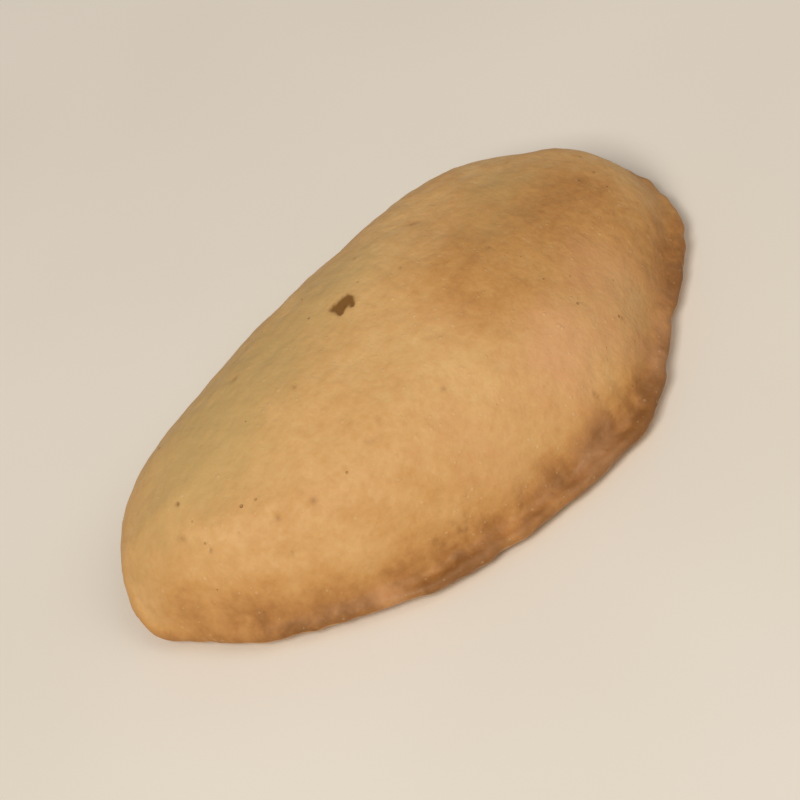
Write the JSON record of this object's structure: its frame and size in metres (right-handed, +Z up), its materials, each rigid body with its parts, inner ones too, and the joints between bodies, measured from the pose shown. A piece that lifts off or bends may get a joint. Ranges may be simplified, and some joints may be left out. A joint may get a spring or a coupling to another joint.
{
  "type": "raviole cookie",
  "caption": "Half-moon filled pastry biscuit, folded along one side and pressed shut with fingertips round the curved edge, lying on its flat underside.",
  "frame": {"origin": "middle of the flat underside, on the surface that the biscuit lies on", "axes": "+X along the fold from tip to tip, +Y towards the folded side, -Y towards the sealed edge, +Z up out of the domed top"},
  "size_m": [0.1098, 0.066, 0.026],
  "materials": {
    "crust": "baked short pastry: pale tan, browned in patches and along the edges, dull with a soft sheen"
  },
  "bodies": {
    "root": {"cookie": "crust"}
  },
  "joints": []
}
